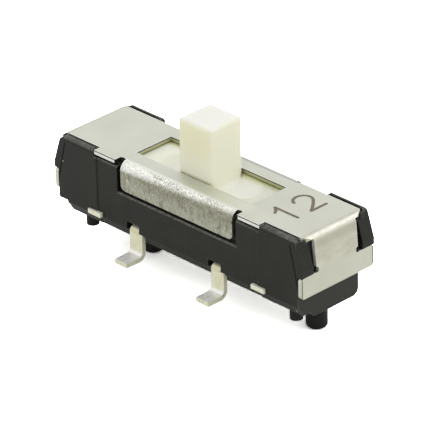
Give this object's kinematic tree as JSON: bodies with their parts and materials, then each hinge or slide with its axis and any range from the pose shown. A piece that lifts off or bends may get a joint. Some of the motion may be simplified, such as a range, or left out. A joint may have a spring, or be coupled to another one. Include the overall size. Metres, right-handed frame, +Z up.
{
  "type": "slide switch",
  "caption": "Surface-mount slide switch: folded steel cover, black moulded base with gull-wing leads and locating bosses, ivory knob sliding in a window.",
  "frame": {"origin": "on the plane of the circuit board's upper face, under the middle of the body", "axes": "+X along the knob's travel towards the marked end, -Y towards the side with the two common leads, +Z up out of the board"},
  "size_m": [0.012, 0.005, 0.0062],
  "materials": {
    "black_plastic": "matt moulded heat-resistant resin, very dark warm grey",
    "cover_steel": "satin plated steel sheet, worked grain on the side bends",
    "ivory_plastic": "smooth translucent ivory resin",
    "spring_bronze": "silver-clad spring strip, satin",
    "tinned_lead": "satin tin plate over brass, slightly yellow"
  },
  "bodies": {
    "housing": {"base": "black_plastic", "cover": "cover_steel", "common_terminal": "tinned_lead", "throw_terminal_left": "tinned_lead", "throw_terminal_centre": "tinned_lead", "throw_terminal_right": "tinned_lead", "carrier_stub_front_left": "tinned_lead", "carrier_stub_front_right": "tinned_lead", "carrier_stub_rear_left": "tinned_lead", "carrier_stub_rear_right": "tinned_lead"},
    "slide": {"slider": "ivory_plastic", "moving_contact": "spring_bronze"}
  },
  "joints": [
    {"name": "knob_slide", "type": "slide", "parent": "housing", "child": "slide", "axis": [1, 0, 0], "range_m": [-0.002, 0.002]}
  ]
}
